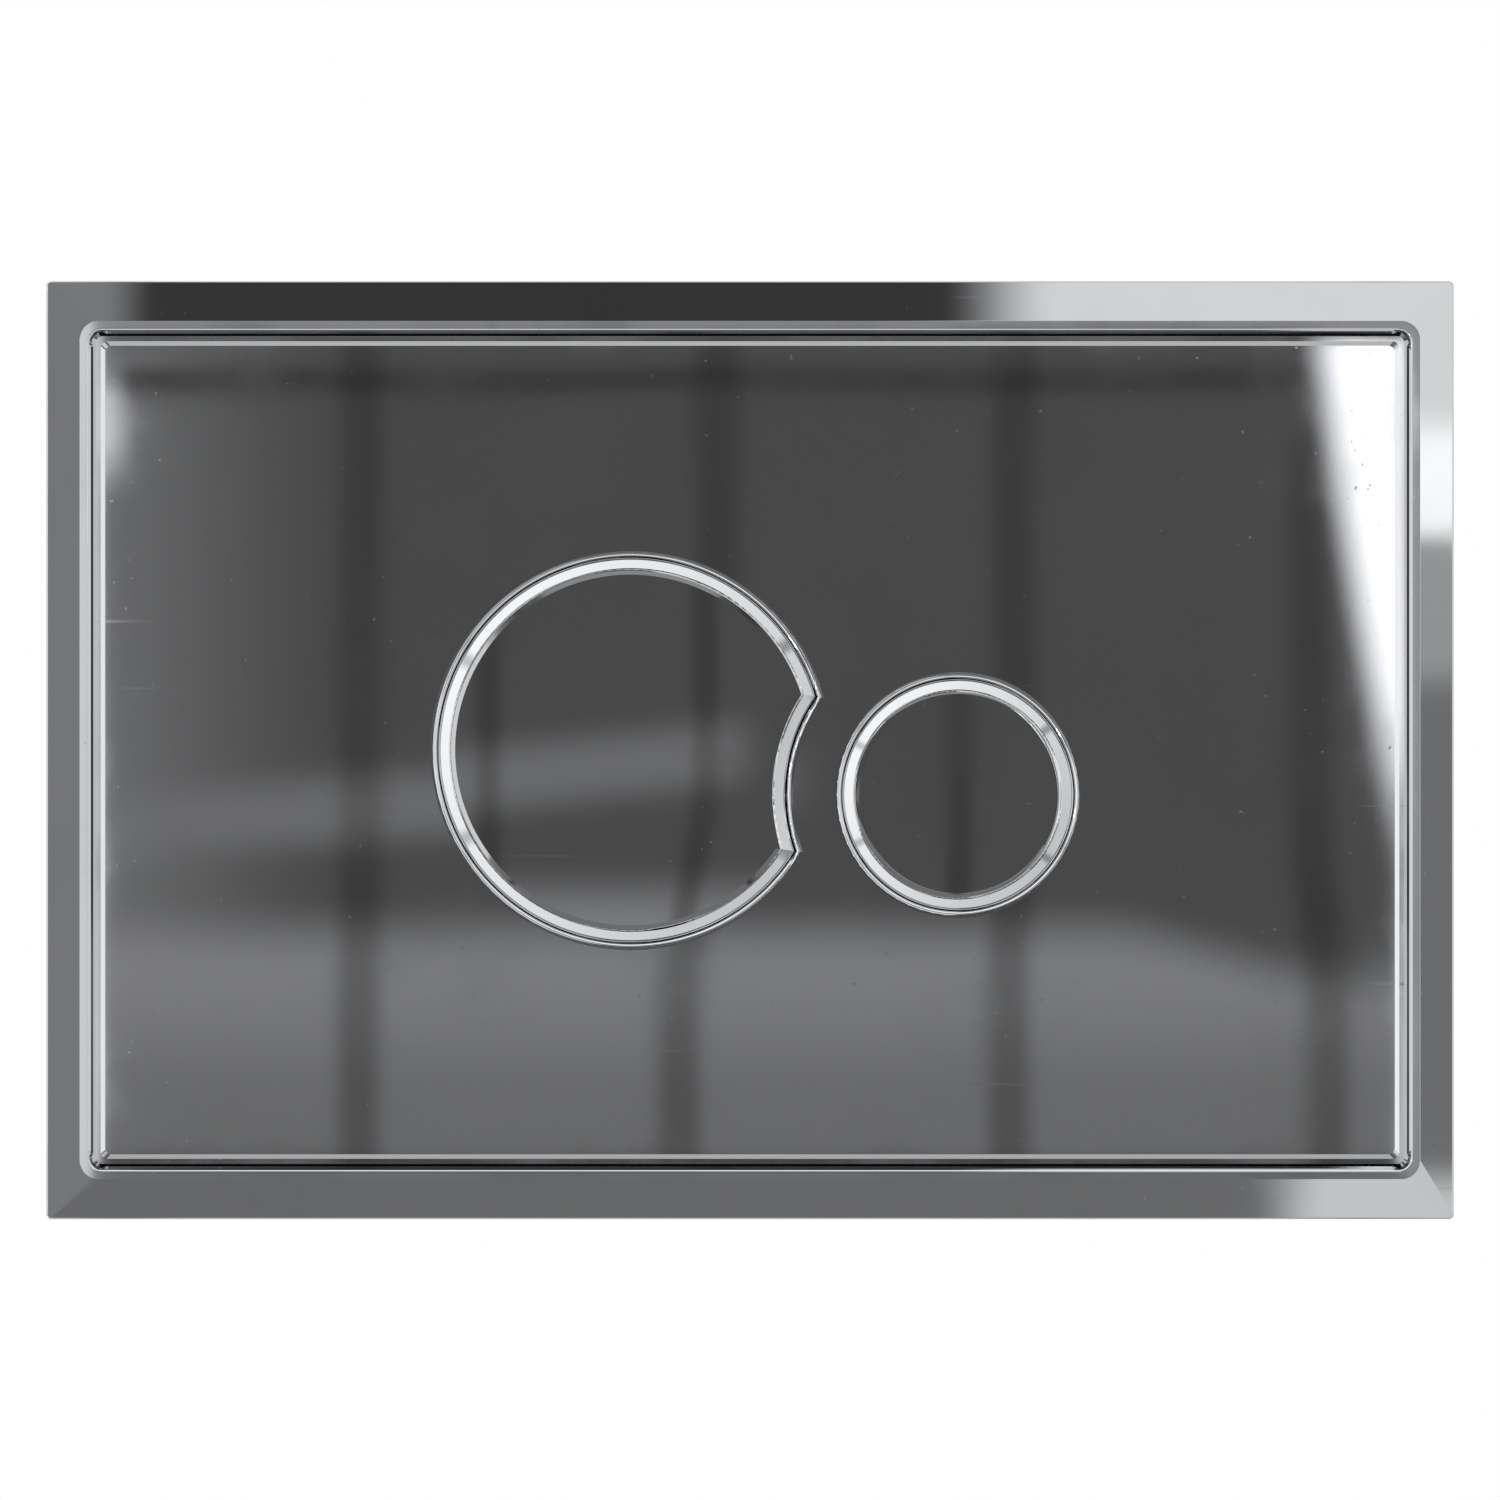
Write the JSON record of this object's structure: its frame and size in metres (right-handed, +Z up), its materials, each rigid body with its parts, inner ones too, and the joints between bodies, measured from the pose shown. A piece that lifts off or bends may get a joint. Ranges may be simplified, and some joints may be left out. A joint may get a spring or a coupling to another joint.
{
  "type": "flush button plate",
  "caption": "Chromed rectangular flush plate with a bevelled border, a large crescent-cut button beside a small round one, and behind it a wall frame with push rods and fixing rods.",
  "frame": {"origin": "middle of the plate, on the face of the finished wall that the plate lies on", "axes": "+X to the right as seen from the front, +Y into the wall, the way the buttons are pressed, +Z up"},
  "size_m": [0.246, 0.0877, 0.164],
  "materials": {
    "chrome": "mirror chrome plating on moulded plastic",
    "white_plastic": "moulded, fine satin",
    "grey_plastic": "moulded, satin",
    "steel": "zinc plated",
    "rubber": "matt"
  },
  "bodies": {
    "plate": {"cover_plate": "chrome", "button_carrier": "white_plastic", "carrier_screws": "steel", "full_button_bumpers": "rubber", "half_button_bumpers": "rubber", "full_return_spring": "steel", "half_return_spring": "steel", "mounting_frame": "white_plastic", "fixing_rod_left": "steel", "fixing_rod_right": "steel", "rod_washer_left": "steel", "rod_washer_right": "steel", "wing_nut_left": "grey_plastic", "wing_nut_right": "grey_plastic"},
    "full_button": {"full_flush_button": "chrome"},
    "half_button": {"half_flush_button": "chrome"},
    "full_push": {"full_push_head": "grey_plastic", "full_push_rod": "grey_plastic", "full_rod_nut": "grey_plastic"},
    "half_push": {"half_push_head": "grey_plastic", "half_push_rod": "grey_plastic", "half_rod_nut": "grey_plastic"}
  },
  "joints": [
    {"name": "full_button_press", "type": "slide", "parent": "plate", "child": "full_button", "axis": [0, 1, 0], "range_m": [0, 0.005], "stiffness_N_per_m": 400, "springref_m": -0.004, "deforming": ["full_return_spring"]},
    {"name": "half_button_press", "type": "slide", "parent": "plate", "child": "half_button", "axis": [0, 1, 0], "range_m": [0, 0.005], "stiffness_N_per_m": 400, "springref_m": -0.004, "deforming": ["half_return_spring"]},
    {"name": "full_push_slide", "type": "slide", "parent": "plate", "child": "full_push", "axis": [0, 1, 0], "range_m": [0, 0.005]},
    {"name": "half_push_slide", "type": "slide", "parent": "plate", "child": "half_push", "axis": [0, 1, 0], "range_m": [0, 0.005]}
  ],
  "couplings": [
    {"joint": "full_push_slide", "follows": "full_button_press", "ratio": 1},
    {"joint": "half_push_slide", "follows": "half_button_press", "ratio": 1}
  ]
}
